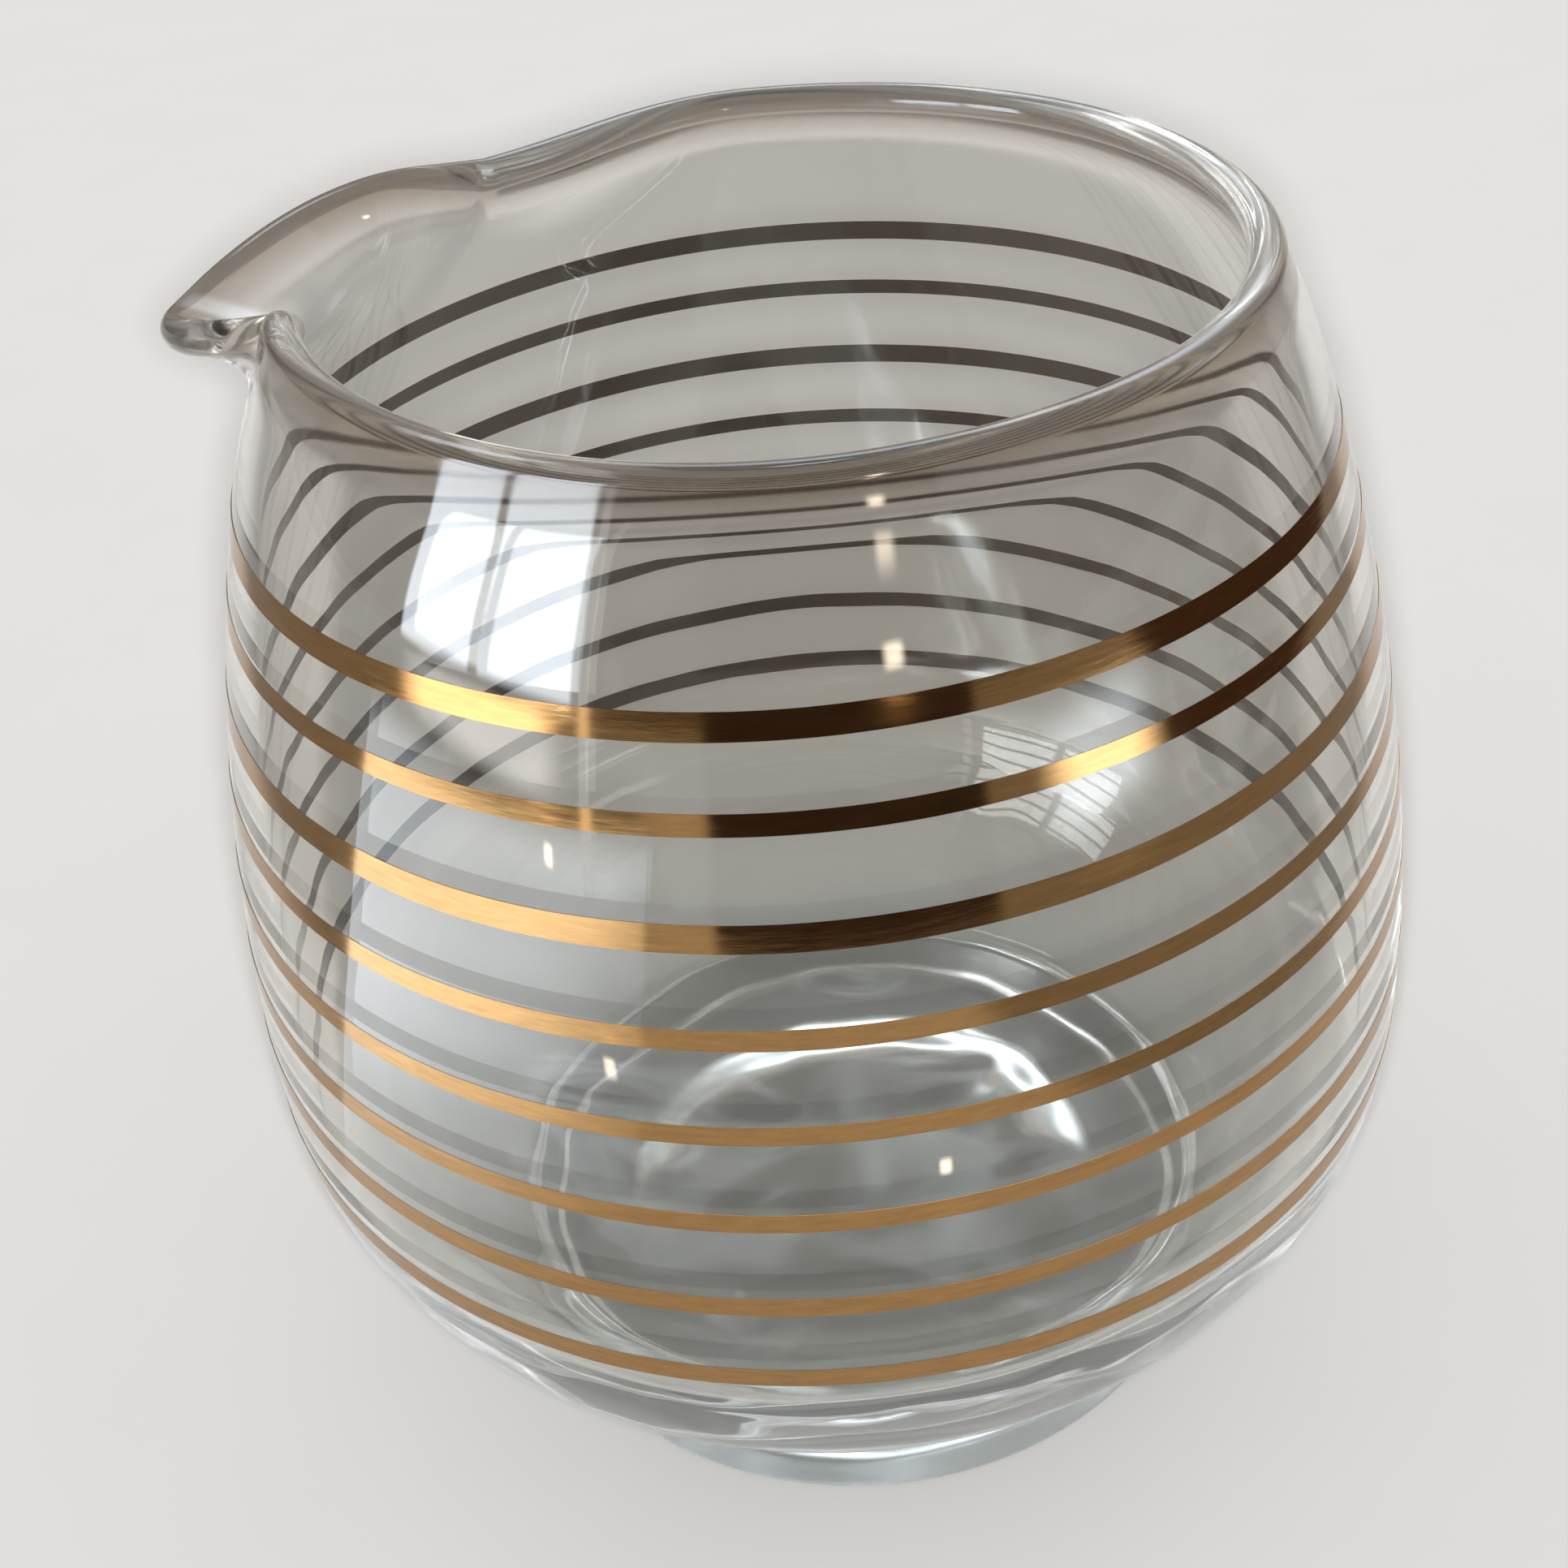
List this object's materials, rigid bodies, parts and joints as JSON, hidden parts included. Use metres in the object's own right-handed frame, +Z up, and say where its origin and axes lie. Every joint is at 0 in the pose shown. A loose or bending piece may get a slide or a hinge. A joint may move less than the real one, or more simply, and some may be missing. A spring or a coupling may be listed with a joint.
{
  "type": "pouring jug",
  "caption": "Small rounded glass pouring jug without a handle, with a pulled spout, a thick foot and thin gold bands round the body.",
  "frame": {"origin": "on the axis of the body, in the flat underside of the foot, where the jug stands on the table; the foot itself sits 0.9 mm to one side of that axis", "axes": "+Z up along the axis of the body; the spout points along -X; the tight fold of the spout is toward -Y"},
  "size_m": [0.0904, 0.0902, 0.0931],
  "materials": {
    "clear_glass": "fire-polished clear",
    "bright_gold": "fired-on liquid gold, bright"
  },
  "bodies": {
    "root": {"glass_body": "clear_glass", "gold_band_1": "bright_gold", "gold_band_2": "bright_gold", "gold_band_3": "bright_gold", "gold_band_4": "bright_gold", "gold_band_5": "bright_gold", "gold_band_6": "bright_gold", "gold_band_7": "bright_gold", "gold_band_8": "bright_gold"}
  },
  "joints": []
}
